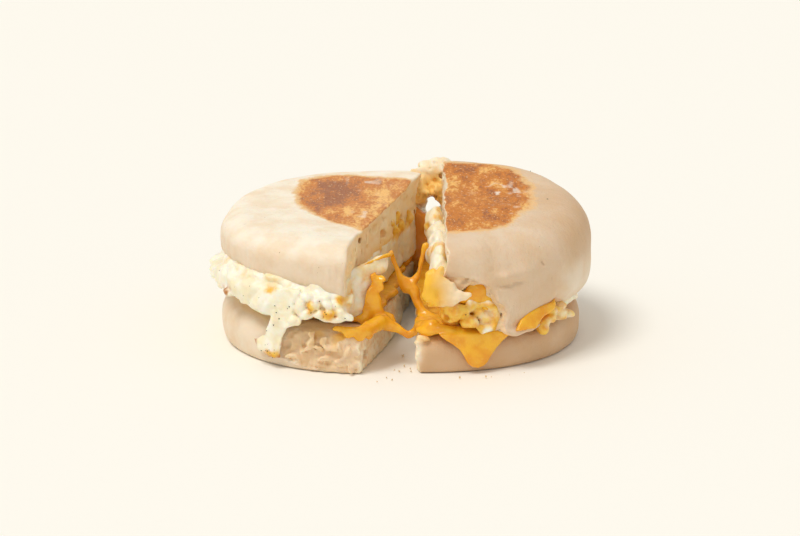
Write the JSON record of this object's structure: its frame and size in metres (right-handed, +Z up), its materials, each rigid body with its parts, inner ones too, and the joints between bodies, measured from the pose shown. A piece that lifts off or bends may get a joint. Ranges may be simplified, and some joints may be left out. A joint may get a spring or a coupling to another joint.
{
  "type": "english muffin sandwich",
  "caption": "Egg and cheese English muffin sandwich, cut through and pulled open at the front, with melted cheese strands across the gap.",
  "frame": {"origin": "middle of the footprint, on the surface that the sandwich stands on", "axes": "+Z up, -Y towards the open mouth of the cut, +X towards the taller half"},
  "size_m": [0.1313, 0.1171, 0.0478],
  "materials": {
    "muffin_crust": "soft floury bread crust, griddle-browned on top",
    "egg": "moist cooked egg",
    "cheese": "glossy melted cheese"
  },
  "bodies": {
    "root": {"muffin_top": "muffin_crust", "muffin_base_left": "muffin_crust", "muffin_base_right": "muffin_crust", "egg_left": "egg", "egg_right": "egg", "cheese": "cheese"}
  },
  "joints": []
}
